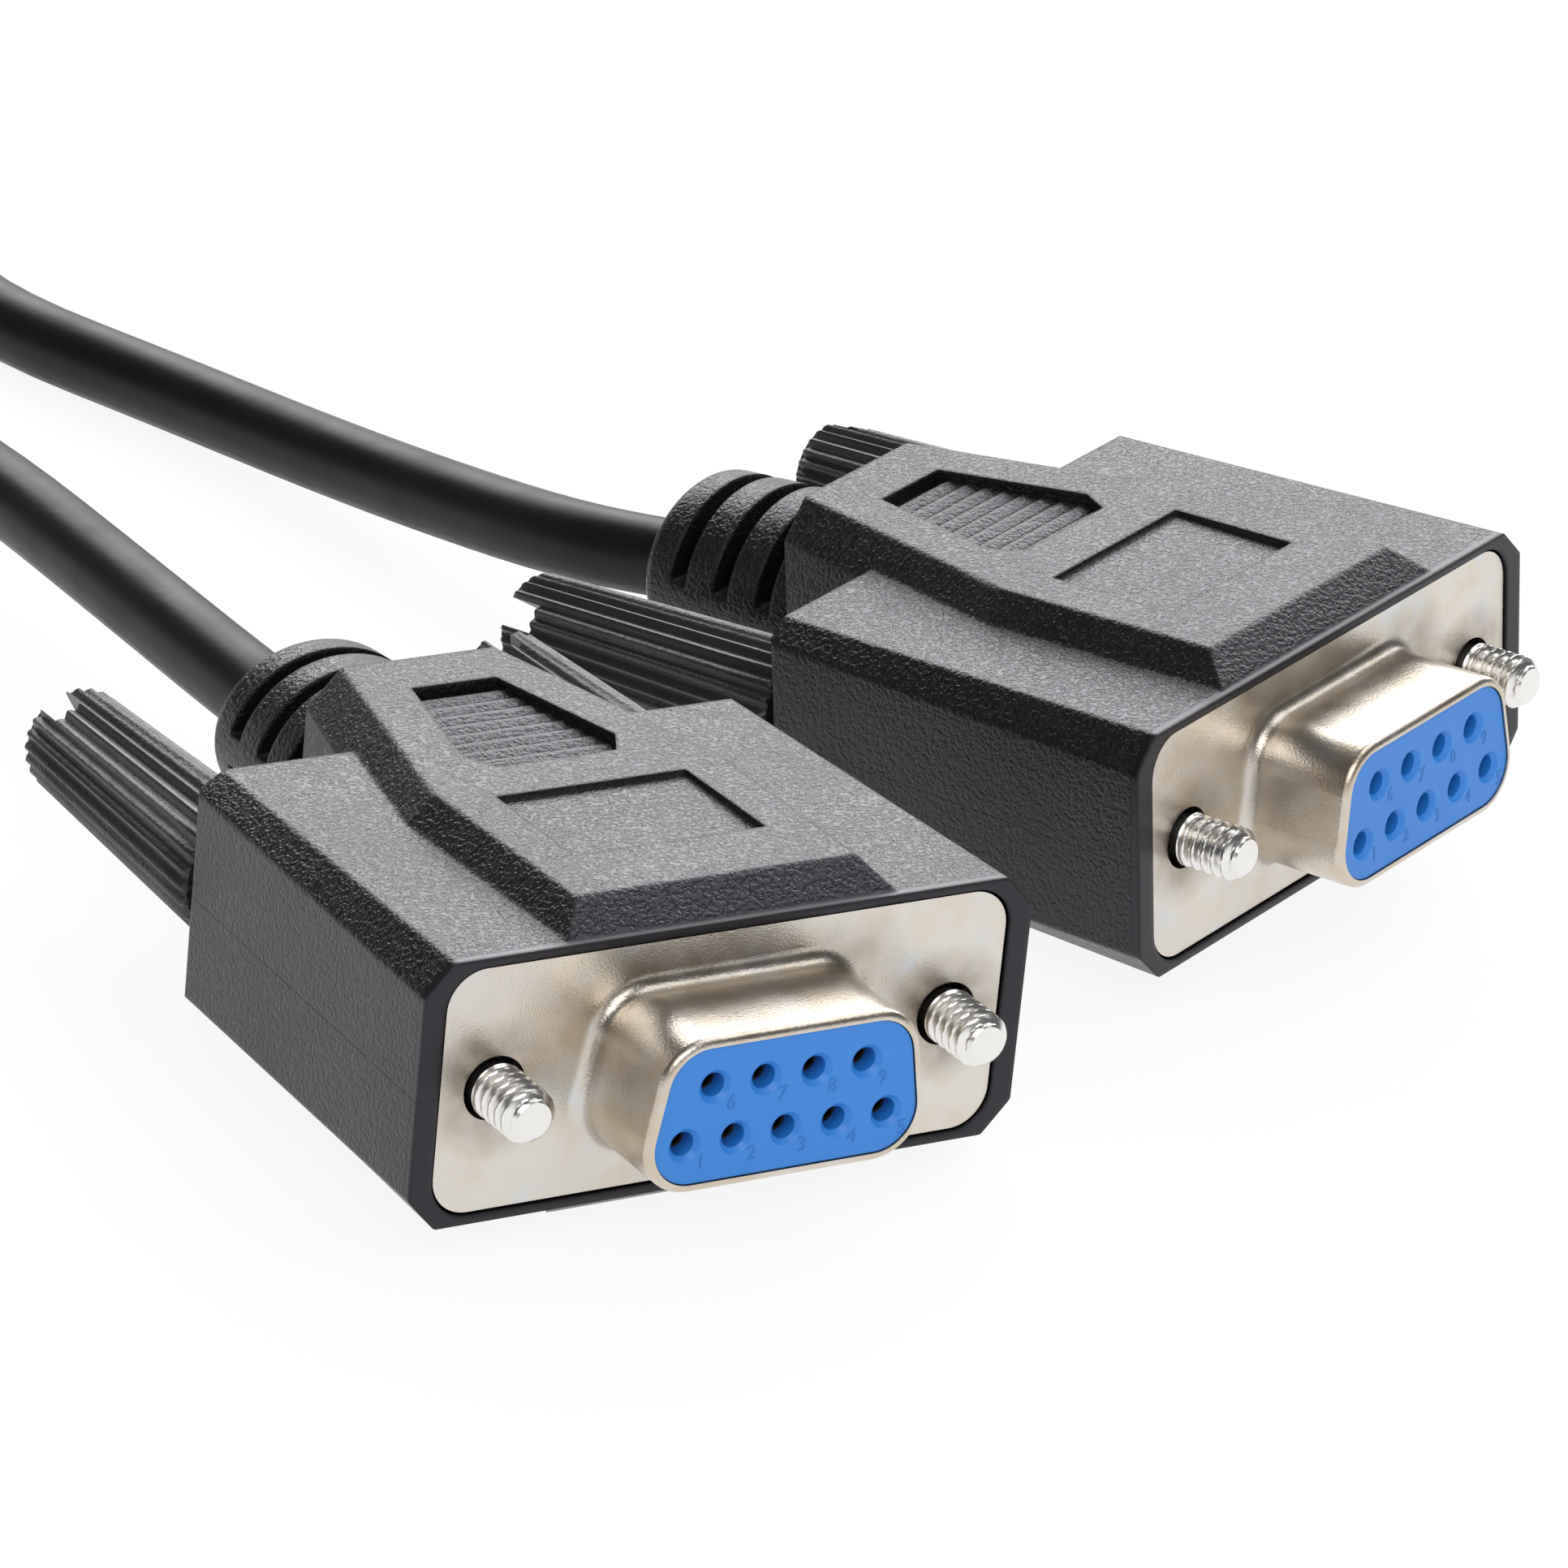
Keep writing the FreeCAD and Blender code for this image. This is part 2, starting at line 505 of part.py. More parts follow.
def makeContact(number, x, z):
    """A turned socket: barrel, shoulder and solder cup on one axis."""
    contact = doc.addObject("PartDesign::Body", "contact_%d" % number)
    profile = newSketch(contact, "profile", "YZ_Plane")
    nose = "(insulatorInset + entryWeb + contactGap - shellProud)"
    shoulder = "insulatorSplit - shoulderThick"
    outline(profile, [(nose, "boreRadius"), (nose, "barrelRadius"), (shoulder, "barrelRadius"),
                      (shoulder, "shoulderRadius"), ("insulatorSplit", "shoulderRadius"),
                      ("insulatorSplit", "tailRadius"), ("tailEnd", "tailRadius"),
                      ("tailEnd", "cupRadius"), ("tailEnd - cupDeep", "cupRadius"),
                      ("tailEnd - cupDeep", "0"), (nose + " + boreDeep", "0"),
                      (nose + " + boreDeep", "boreRadius")])
    turn(contact, "Revolution", "turned", profile)
    place = FreeCAD.Placement(FreeCAD.Vector(x, 0, z), FreeCAD.Rotation())
    return keep(contact, "contact_%d" % number, place)


def makeWireEnds():
    """Seven conductors, from the cups of contacts 2 to 8 to the end of the cable's sheath."""
    step = 360.0 / 7
    lowTurns = [(i - 1.5) * step - 90 for i in range(4)]
    highTurns = [90 - (i - 1) * step for i in range(3)]
    toTail = FreeCAD.Vector(0, 1, 0)
    wires = []
    for row, angle in zip(contactRows[1:8], lowTurns + highTurns):
        x, z = contactCentre(*row)
        far = sizes["wireCircle"]
        ends = [FreeCAD.Vector(x, sizes["tailEnd"], z),
                FreeCAD.Vector(far * math.cos(math.radians(angle)), sizes["sheathStart"] - sizes["wireShort"],
                               far * math.sin(math.radians(angle)))]
        rings = [Part.Wire(Part.makeCircle(sizes["wireRadius"], at, toTail)) for at in ends]
        wires.append(Part.makeLoft(rings, True, True))
    bundle = doc.addObject("Part::Feature", "wire_ends")
    bundle.Shape = Part.makeCompound(wires)
    return keep(bundle, "wire_ends")


def addCableBore(body):
    """The way of the cable, which leaves the boot a little below its axis."""
    bore = newSketch(body, "cable_section", "XZ_Plane", "sheathStart")
    circle(bore, "0", "0", "cableRadius")
    mouth = newSketch(body, "cable_mouth", "XZ_Plane", "bootEnd")
    circle(mouth, "0", "-tailSag", "cableRadius + mouthEase")
    return loft(body, "SubtractiveLoft", "cable_bore", [bore, mouth])


def makeInnerMould():
    """The first moulding: a sleeve over the cups and conductors that grips the cable's sheath."""
    mould = doc.addObject("PartDesign::Body", "inner_mould")
    addMouldLoft(mould, "AdditiveLoft")
    wall = " - mouldWall"
    front = newSketch(mould, "room_front", "XZ_Plane", "plateThick * 2 + panDeep")
    outline(front, rectangle("mouldHalfWide" + wall, "mouldHalfTall" + wall))
    rear = newSketch(mould, "room_rear", "XZ_Plane", "sheathStart")
    outline(rear, rectangle("mouldEndHalfWide" + wall, "mouldEndHalfTall" + wall))
    loft(mould, "SubtractiveLoft", "wire_room", [front, rear])
    addCableBore(mould)
    return keep(mould, "inner_mould")


# Screws, grips and clips

def makeScrew(side, axis):
    screw = doc.addObject("PartDesign::Body", "jackscrew_" + side)
    profile = newSketch(screw, "profile", "YZ_Plane")
    seat = "clipFront - clipPlay"
    outline(profile, [("-screwTip", "0"), ("-screwTip", "screwRadius - screwChamfer"),
                      ("screwChamfer - screwTip", "screwRadius"), ("-threadEnd", "screwRadius"),
                      ("-threadEnd", "shankRadius"), (seat, "shankRadius"), (seat, "clipSeatRadius"),
                      (seat + " + clipThick + 2 * clipPlay", "clipSeatRadius"),
                      (seat + " + clipThick + 2 * clipPlay", "shankRadius"),
                      ("shankEnd", "shankRadius"), ("shankEnd", "0")])
    turn(screw, "Revolution", "turned", profile)
    return keep(screw, "jackscrew_" + side, axis)


def makeClip(side, axis):
    clip = doc.addObject("PartDesign::Body", "clip_" + side)
    ring = newSketch(clip, "ring", "XZ_Plane", "clipFront")
    circle(ring, "0", "0", "clipOuterRadius")
    circle(ring, "0", "0", "clipSeatRadius + clipPlay")
    grow(clip, "Pad", "washer", ring, "clipThick", away=True)
    mouth = newSketch(clip, "mouth", "XZ_Plane", "clipFront - 1")
    outline(mouth, box("-clipMouth / 2", "clipMouth / 2", "0", "2 * clipOuterRadius"))
    grow(clip, "Pocket", "mouth_cut", mouth, "clipThick + 2")
    return keep(clip, "clip_" + side, axis)


def ribbedRing(sketch, reach):
    """An outline of straight-flanked ribs round a circle: crests at reach, valleys below."""
    corners = []
    for i in range(sizes["gripRibs"]):
        for share, radius in ((-0.32, reach + " - gripRibTall"), (-0.14, reach), (0.14, reach),
                              (0.32, reach + " - gripRibTall")):
            turnBy = "(%g * 360deg / gripRibs)" % (i + share)
            corners.append(("(%s) * cos%s" % (radius, turnBy), "(%s) * sin%s" % (radius, turnBy)))
    return outline(sketch, corners)


def makeGrip():
    """A tapered knob with ribs all round, a screwdriver slot across its tail and a blind bore."""
    grip = doc.addObject("PartDesign::Body", "thumb_grip")
    rings = []
    for name, at, reach in (("front_ring", "gripFront", "gripFrontRadius"),
                            ("tail_ring", "gripEnd", "gripEndRadius")):
        rings.append(ribbedRing(newSketch(grip, name, "XZ_Plane", at), reach))
    loft(grip, "AdditiveLoft", "ribbed_knob", rings)
    slot = newSketch(grip, "slot_plan", "XY_Plane")
    outline(slot, box("-slotWide / 2", "slotWide / 2", "gripEnd - slotDeep", "gripEnd + 1"))
    grow(grip, "Pocket", "driver_slot", slot, "4 * gripFrontRadius", both=True)
    bore = newSketch(grip, "shank_section", "XZ_Plane", "gripFront")
    circle(bore, "0", "0", "shankRadius")
    grow(grip, "Pocket", "shank_bore", bore, "shankEnd - gripFront")
    return grip


# Cable

def makeRun(end, place, route, joint):
    """A plain tube from the sheath's end in the moulding, out of the boot and on to the coil."""
    inside = place.multVec(FreeCAD.Vector(0, sizes["sheathStart"], 0))
    tail = place.multVec(FreeCAD.Vector(0, sizes["bootEnd"], -sizes["tailSag"]))
    points = [inside, tail] + [FreeCAD.Vector(*p) for p in route]
    points += [joint["point"] + joint["heading"] * leadIn, joint["point"]]
    path = tubePath(points)
    section = Part.Wire(Part.makeCircle(sizes["cableRadius"], inside, tail - inside))
    run = doc.addObject("Part::Feature", "cable_run_" + end)
    run.Shape = path.makePipeShell([section], True, True)
    expected = math.pi * sizes["cableRadius"] ** 2 * path.Length
    report = (end, path.Length, run.Shape.Volume, expected)
    print("cable_run_%s length %.1f volume %.1f expected %.1f" % report)
    cable.append(run)


def coilJoints():
    """Where each end of the cable meets the coil: a point, the way back to it and the height."""
    centre = FreeCAD.Vector(sizes["coilCentreX"], sizes["coilCentreY"], 0)
    joints = {}
    high = sizes["cableRadius"] * (2 * sizes["coilLayers"] - 1)
    for end, degrees, height in (("a", 180 + sizes["coilLeadAngle"], high),
                                 ("b", -sizes["coilLeadAngle"], sizes["cableRadius"])):
        angle = math.radians(degrees)
        out = FreeCAD.Vector(math.cos(angle), math.sin(angle), 0)
        along = FreeCAD.Vector(-math.sin(angle), math.cos(angle), 0)
        if along.y > 0:
            along = along * -1
        touch = centre + out * sizes["coilTurnRadius"] + FreeCAD.Vector(0, 0, height)
        joints[end] = {"touch": touch, "heading": along, "point": touch + along * sizes["coilLead"]}
    return joints


def makeCoil(joints):
    """The wound length as one ring, with the cable's two ends leaving it along its outer turn."""
    centre = FreeCAD.Vector(sizes["coilCentreX"], sizes["coilCentreY"], 0)
    outer = doc.addObject("Part::Cylinder", "coil_outside")
    outer.setExpression("Radius", bound("coilTurnRadius + cableRadius"))
    outer.setExpression("Height", bound("2 * cableRadius * coilLayers"))
    inner = doc.addObject("Part::Cylinder", "coil_inside")
    inner.setExpression("Radius", bound("coilTurnRadius + cableRadius - 2 * cableRadius * coilTurns"))
    inner.setExpression("Height", bound("2 * cableRadius * coilLayers"))
    for ring in (outer, inner):
        ring.Placement = FreeCAD.Placement(centre, FreeCAD.Rotation())
    wound = doc.addObject("Part::Cut", "coil_ring")
    wound.Base, wound.Tool = outer, inner
    leads = []
    for end, joint in joints.items():
        lead = doc.addObject("Part::Cylinder", "coil_lead_" + end)
        lead.setExpression("Radius", bound("cableRadius - coilLeadEase"))
        lead.setExpression("Height", bound("coilLead"))
        lead.Placement = FreeCAD.Placement(joint["touch"],
                                           FreeCAD.Rotation(FreeCAD.Vector(0, 0, 1), joint["heading"]))
        leads.append(lead)
    coil = doc.addObject("Part::MultiFuse", "cable_coil")
    coil.Shapes = [wound] + leads
    cable.append(coil)


# Assembly

def makeConnector():
    """Every piece of one connector, in its own frame; the grip is shaped once and set twice."""
    makeHood()
    makeFrontShell()
    makeRearShell()
    makeFrontInsulator()
    makeRearInsulator()
    for number, row in enumerate(contactRows, start=1):
        makeContact(number, *contactCentre(*row))
    makeWireEnds()
    makeInnerMould()
    for side, sign in (("left", -1), ("right", 1)):
        axis = FreeCAD.Placement(FreeCAD.Vector(sign * sizes["holeSpacing"] / 2, 0, 0), FreeCAD.Rotation())
        makeScrew(side, axis)
        makeClip(side, axis)


def lowestPoint(shape, place):
    """How low a shape of the connector's frame reaches when it is placed."""
    form = shape.copy()
    form.Placement = place.multiply(form.Placement)
    return form.optimalBoundingBox(False).ZMin


def setPiece(label, shape, place):
    """One placed piece of the finished cable."""
    piece = doc.addObject("Part::Feature", label)
    piece.Shape = shape.copy()
    piece.Placement = place.multiply(shape.Placement)
    return piece


makeConnector()
grip = makeGrip()
doc.recompute()
hoodShape = connector[0].Shape
lean = FreeCAD.Rotation(FreeCAD.Vector(0, 0, 1), tailPlace["yaw"])
lean = lean.multiply(FreeCAD.Rotation(FreeCAD.Vector(1, 0, 0), tailPlace["pitch"]))
lean = lean.multiply(FreeCAD.Rotation(FreeCAD.Vector(0, 1, 0), tailPlace["roll"]))
onCrown = FreeCAD.Vector(0, -sizes["restMiddle"], sizes["crownZ"])
places = {"a": FreeCAD.Placement(onCrown, FreeCAD.Rotation())}
lift = -lowestPoint(hoodShape, FreeCAD.Placement(FreeCAD.Vector(), lean))
places["b"] = FreeCAD.Placement(FreeCAD.Vector(tailPlace["x"], tailPlace["y"], lift), lean)

parts = []
joints = coilJoints()
for end, place in places.items():
    for piece in connector:
        parts.append(setPiece("%s_%s" % (piece.Label, end), piece.Shape, place))
    for side, sign in (("left", -1), ("right", 1)):
        turned = FreeCAD.Rotation(FreeCAD.Vector(0, 1, 0), slotTurn[(end, side)])
        axis = FreeCAD.Placement(FreeCAD.Vector(sign * sizes["holeSpacing"] / 2, 0, 0), turned)
        parts.append(setPiece("thumb_grip_%s_%s" % (side, end), grip.Shape, place.multiply(axis)))
makeRun("a", places["a"], routeA, joints["a"])
makeRun("b", places["b"], routeB, joints["b"])
makeCoil(joints)
doc.recompute()
parts += cable

for thing in doc.Objects:
    if "Invalid" in thing.State or "Error" in thing.State:
        raise RuntimeError("%s did not build: %s" % (thing.Label, thing.State))
os.makedirs("parts", exist_ok=True)
for piece in parts:
    if piece.Shape.isNull() or not piece.Shape.isValid():
        raise RuntimeError("%s has no sound shape" % piece.Label)
    piece.Shape.exportStep("parts/%s.step" % piece.Label)
print("%d pieces written, second connector at %s" % (len(parts), places["b"].Base))
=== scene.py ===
import bpy
import bmesh
import json
import math
from mathutils import Matrix, Vector


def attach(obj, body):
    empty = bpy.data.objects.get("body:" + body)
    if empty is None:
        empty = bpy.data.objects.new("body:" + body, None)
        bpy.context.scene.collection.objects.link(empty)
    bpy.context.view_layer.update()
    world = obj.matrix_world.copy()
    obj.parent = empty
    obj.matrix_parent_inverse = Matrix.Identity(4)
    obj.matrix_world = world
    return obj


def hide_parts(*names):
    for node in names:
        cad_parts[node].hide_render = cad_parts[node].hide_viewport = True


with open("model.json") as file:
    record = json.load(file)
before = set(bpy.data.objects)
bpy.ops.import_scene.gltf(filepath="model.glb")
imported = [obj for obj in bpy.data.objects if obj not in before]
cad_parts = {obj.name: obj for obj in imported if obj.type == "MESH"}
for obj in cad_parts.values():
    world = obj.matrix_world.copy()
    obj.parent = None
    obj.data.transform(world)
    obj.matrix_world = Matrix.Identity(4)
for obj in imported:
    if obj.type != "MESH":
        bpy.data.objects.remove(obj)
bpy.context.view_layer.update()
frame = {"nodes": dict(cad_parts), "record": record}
print("frame loaded:", len(frame["nodes"]), "nodes")

mm = 0.001
ends = ("a", "b")
sides = ("left", "right")
mounts = {mount["name"]: mount for mount in frame["record"]["mounts"]}


def addObject(name, data):
    thing = bpy.data.objects.new(name, data)
    bpy.context.scene.collection.objects.link(thing)
    return thing


# Placing: each connector's own frame, with its origin in the middle of the flange face

pinDepth = 1.825 * mm  # how far the screw pins' middles lie in front of the flange
acrossAxis, backAxis, upAxis = 0, 1, 2  # x runs from the left screw to the right one, y towards the cable


def connectorPlace(end):
    leftPin, rightPin = (mounts["jackscrew_tip_%s_%s" % (side, end)] for side in sides)
    across = (Vector(rightPin["pos_m"]) - Vector(leftPin["pos_m"])).normalized()
    back = -Vector(leftPin["axis"]).normalized()
    middle = (Vector(rightPin["pos_m"]) + Vector(leftPin["pos_m"])) / 2 + back * pinDepth
    turned = Matrix((across, back, across.cross(back))).transposed()
    return Matrix.Translation(middle) @ turned.to_4x4()


places = {end: connectorPlace(end) for end in ends}
pinSpacing = (Vector(mounts["jackscrew_tip_right_a"]["pos_m"])
              - Vector(mounts["jackscrew_tip_left_a"]["pos_m"])).length


def screwPlace(side, end):
    sign = 1 if side == "right" else -1
    return places[end] @ Matrix.Translation((sign * pinSpacing / 2, 0, 0))


# Shader helpers

def mathNode(nodes, links, operation, first, second=None):
    node = nodes.new("ShaderNodeMath")
    node.operation = operation
    for value, socket in zip((first, second), node.inputs):
        if value is None:
            continue
        if isinstance(value, (int, float)):
            socket.default_value = value
        else:
            links.new(value, socket)
    return node.outputs[0]


def spread(nodes, links, source, low, high, toLow=0.0, toHigh=1.0):
    remap = nodes.new("ShaderNodeMapRange")
    for name, value in (("From Min", low), ("From Max", high), ("To Min", toLow), ("To Max", toHigh)):
        remap.inputs[name].default_value = value
    links.new(source, remap.inputs["Value"])
    return remap.outputs["Result"]


def blendShaders(nodes, links, share, first, second, output):
    mix, out = nodes.new("ShaderNodeMixShader"), nodes.new(output)
    links.new(share, mix.inputs[0])
    links.new(first.outputs[0], mix.inputs[1])
    links.new(second.outputs[0], mix.inputs[2])
    links.new(mix.outputs[0], out.inputs[0])


# Camera, light and floor

cameraSettings = {
    "place": (-191.037 * mm, -310.262 * mm, 167.903 * mm),
    "azimuth": 33.27, "elevation": 22.57, "roll": 5.79,
    "sensor": 36.0, "lens": 186.34, "clip": (0.01, 20.0),
}


def setCamera():
    azimuth, elevation, roll = (math.radians(cameraSettings[k]) for k in ("azimuth", "elevation", "roll"))
    ahead = Vector((math.sin(azimuth) * math.cos(elevation), math.cos(azimuth) * math.cos(elevation),
                    -math.sin(elevation)))
    level = Vector((math.cos(azimuth), -math.sin(azimuth), 0))
    upward = level.cross(ahead)
    pictureRight = level * math.cos(roll) + upward * math.sin(roll)
    pictureUp = upward * math.cos(roll) - level * math.sin(roll)
    data = bpy.data.cameras.new("photoCamera")
    data.sensor_width = cameraSettings["sensor"]
    data.lens = cameraSettings["lens"]
    data.clip_start, data.clip_end = cameraSettings["clip"]
    camera = addObject("photoCamera", data)
    camera.matrix_world = (Matrix.Translation(Vector(cameraSettings["place"]))
                           @ Matrix((pictureRight, pictureUp, -ahead)).transposed().to_4x4())
    bpy.context.scene.camera = camera


lampSettings = {  # turn goes from the back towards the right, rise is above the floor, both in degrees
    "backSoftbox": {"turn": 36.0, "rise": 31.0, "distance": 0.95, "wide": 1.2, "tall": 0.6, "watts": 11.0},
    "overheadSoftbox": {"turn": 100.0, "rise": 66.0, "distance": 0.9, "wide": 0.6, "tall": 0.6, "watts": 2.0},
    "frontSoftbox": {"turn": -150.0, "rise": 40.0, "distance": 1.0, "wide": 0.9, "tall": 0.6, "watts": 4.6},
}
lampAim = Vector((0.02, 0.0, 0.01))


def setLamps():
    for name, values in lampSettings.items():
        turn, rise = math.radians(values["turn"]), math.radians(values["rise"])
        away = Vector((math.sin(turn) * math.cos(rise), math.cos(turn) * math.cos(rise), math.sin(rise)))
        data = bpy.data.lights.new(name, "AREA")
        data.shape, data.size, data.size_y = "RECTANGLE", values["wide"], values["tall"]
        data.energy = values["watts"]
        lamp = addObject(name, data)
        lamp.location = lampAim + away * values["distance"]
        lamp.rotation_euler = (-away).to_track_quat("-Z", "Y").to_euler()
        lamp.visible_camera = False


floorSettings = {"half": 3.0, "colour": (0.86, 0.86, 0.86, 1), "glow": 0.9}
roomSettings = {  # ceiling is its brightness in reflections, wallTop and ceilingFrom are upward directions
    "diffuse": (0.54, 0.545, 0.56, 1), "walls": (1, 1, 1, 1),
    "ceiling": 0.09, "wallTop": 0.0, "ceilingFrom": 0.16,
}


def seenRays(nodes, links):
    path = nodes.new("ShaderNodeLightPath")
    seen = mathNode(nodes, links, "MAXIMUM", path.outputs["Is Camera Ray"], path.outputs["Is Glossy Ray"])
    return mathNode(nodes, links, "MAXIMUM", seen, path.outputs["Is Transmission Ray"])


def setRoom():
    world = bpy.data.worlds.new("whiteRoom")
    world.use_nodes = True
    bpy.context.scene.world = world
    nodes, links = world.node_tree.nodes, world.node_tree.links
    nodes.clear()
    dim, white = nodes.new("ShaderNodeBackground"), nodes.new("ShaderNodeBackground")
    dim.inputs["Color"].default_value = roomSettings["diffuse"]
    white.inputs["Color"].default_value = roomSettings["walls"]
    # white walls, and a dark ceiling that only shows in reflections
    aimed = nodes.new("ShaderNodeSeparateXYZ")
    links.new(nodes.new("ShaderNodeTexCoord").outputs["Generated"], aimed.inputs[0])
    shade = spread(nodes, links, aimed.outputs["Z"], roomSettings["wallTop"], roomSettings["ceilingFrom"],
                   1.0, roomSettings["ceiling"])
    cameraRay = nodes.new("ShaderNodeLightPath").outputs["Is Camera Ray"]
    links.new(mathNode(nodes, links, "MAXIMUM", cameraRay, shade), white.inputs["Strength"])
    blendShaders(nodes, links, seenRays(nodes, links), dim, white, "ShaderNodeOutputWorld")


def setFloor():
    half = floorSettings["half"]
    mesh = bpy.data.meshes.new("paleFloor")
    corners = [(-half, -half, 0), (half, -half, 0), (half, half, 0), (-half, half, 0)]
    mesh.from_pydata(corners, [], [(0, 1, 2, 3)])
    floor = addObject("paleFloor", mesh)
    material = bpy.data.materials.new("paleFloor")
    material.use_nodes = True
    nodes, links = material.node_tree.nodes, material.node_tree.links
    nodes.clear()
    matte, glow = nodes.new("ShaderNodeBsdfDiffuse"), nodes.new("ShaderNodeEmission")
    matte.inputs["Color"].default_value = floorSettings["colour"]
    share = mathNode(nodes, links, "MULTIPLY", seenRays(nodes, links), floorSettings["glow"])
    blendShaders(nodes, links, share, matte, glow, "ShaderNodeOutputMaterial")
    mesh.materials.append(material)


setCamera()
setLamps()
setRoom()
setFloor()
bpy.context.scene.view_settings.view_transform = "Standard"
print("camera, lamps and floor set")


# Materials

noiseRange = (0.3, 0.7)  # where most values of a noise lie


def newMaterial(name, colour, roughness, metallic=0.0):
    material = bpy.data.materials.new(name)
    material.use_nodes = True
    shader = material.node_tree.nodes["Principled BSDF"]
    shader.inputs["Base Color"].default_value = (*colour, 1)
    shader.inputs["Roughness"].default_value = roughness
    shader.inputs["Metallic"].default_value = metallic
    return material, material.node_tree.nodes, material.node_tree.links, shader


def surfacePoint(nodes):
    return nodes.new("ShaderNodeTexCoord").outputs["Object"]


def noise(nodes, links, size, detail=2.0, rough=0.5, warp=0.0):
    texture = nodes.new("ShaderNodeTexNoise")
    texture.inputs["Scale"].default_value = 1 / size
    texture.inputs["Detail"].default_value = detail
    texture.inputs["Roughness"].default_value = rough
    texture.inputs["Distortion"].default_value = warp
    links.new(surfacePoint(nodes), texture.inputs["Vector"])
    return texture.outputs["Fac"]


def ramp(nodes, links, source, band, low, high):
    scale = nodes.new("ShaderNodeValToRGB")
    for element, place, colour in zip(scale.color_ramp.elements, band, (low, high)):
        element.position, element.color = place, (*colour, 1)
    links.new(source, scale.inputs["Fac"])
    return scale.outputs["Color"]


def blendColours(nodes, links, share, first, second):
    mix = nodes.new("ShaderNodeMix")
    mix.data_type = "RGBA"
    links.new(share, mix.inputs["Factor"])
    for colour, socket in ((first, mix.inputs["A"]), (second, mix.inputs["B"])):
        if isinstance(colour, tuple):
            socket.default_value = (*colour, 1)
        else:
            links.new(colour, socket)
    return mix.outputs["Result"]


def raised(nodes, links, shader, height, distance, strength=1.0, before=None):
    bump = nodes.new("ShaderNodeBump")
    bump.inputs["Distance"].default_value = distance
    bump.inputs["Strength"].default_value = strength
    links.new(height, bump.inputs["Height"])
    if before is not None:
        links.new(before, bump.inputs["Normal"])
    links.new(bump.outputs["Normal"], shader.inputs["Normal"])


def unevenGloss(nodes, links, shader, source, low, high):
    links.new(spread(nodes, links, source, *noiseRange, low, high), shader.inputs["Roughness"])


def alongConnector(nodes, links, end, axis):
    place = places[end]
    direction = place.to_3x3().col[axis]
    dot = nodes.new("ShaderNodeVectorMath")
    dot.operation = "DOT_PRODUCT"
    dot.inputs[1].default_value = direction
    links.new(surfacePoint(nodes), dot.inputs[0])
    return mathNode(nodes, links, "SUBTRACT", dot.outputs["Value"], place.translation.dot(direction))


def distanceFrom(nodes, links, across, up):
    place = nodes.new("ShaderNodeCombineXYZ")
    links.new(across, place.inputs["X"])
    links.new(up, place.inputs["Y"])
    length = nodes.new("ShaderNodeVectorMath")
    length.operation = "LENGTH"
    links.new(place.outputs[0], length.inputs[0])
    return length.outputs["Value"]


hoodFinish = {  # a leather grain that fades out at the smooth rim round the plate
    "colour": (0.006, 0.006, 0.0066), "specular": 0.5, "tint": (0.90, 0.87, 1.0),
    "roughness": 0.33, "roughFrom": 0.29, "roughTo": 0.35, "patch": 6 * mm,
    "grain": 0.26 * mm, "warp": 0.4, "depth": 0.030 * mm, "grooveBand": (0.37, 0.57),
    "smoothRim": (0.25 * mm, 0.50 * mm), "edgeRadius": 0.35 * mm, "edgeSamples": 4,
    "partingWide": (0.02 * mm, 0.05 * mm), "partingDeep": 0.05 * mm,
}


def hoodMaterial(end):
    h = hoodFinish
    material, nodes, links, shader = newMaterial("hoodPlastic_" + end, h["colour"], h["roughness"])
    shader.inputs["Specular IOR Level"].default_value = h["specular"]
    shader.inputs["Specular Tint"].default_value = (*h["tint"], 1)
    softEdge = nodes.new("ShaderNodeBevel")
    softEdge.samples = h["edgeSamples"]
    softEdge.inputs["Radius"].default_value = h["edgeRadius"]
    back = alongConnector(nodes, links, end, backAxis)
    grained = spread(nodes, links, back, *h["smoothRim"], 0.0, h["depth"])
    leather = spread(nodes, links, noise(nodes, links, h["grain"], warp=h["warp"]), *h["grooveBand"])
    grain = mathNode(nodes, links, "MULTIPLY", leather, grained)
    fromMiddle = mathNode(nodes, links, "ABSOLUTE", alongConnector(nodes, links, end, upAxis))
    parting = spread(nodes, links, fromMiddle, *h["partingWide"], 0.0, h["partingDeep"])
    height = mathNode(nodes, links, "ADD", grain, parting)  # in metres, so it is raised by 1
    raised(nodes, links, shader, height, 1.0, before=softEdge.outputs["Normal"])
    unevenGloss(nodes, links, shader, noise(nodes, links, h["patch"]), h["roughFrom"], h["roughTo"])
    return material


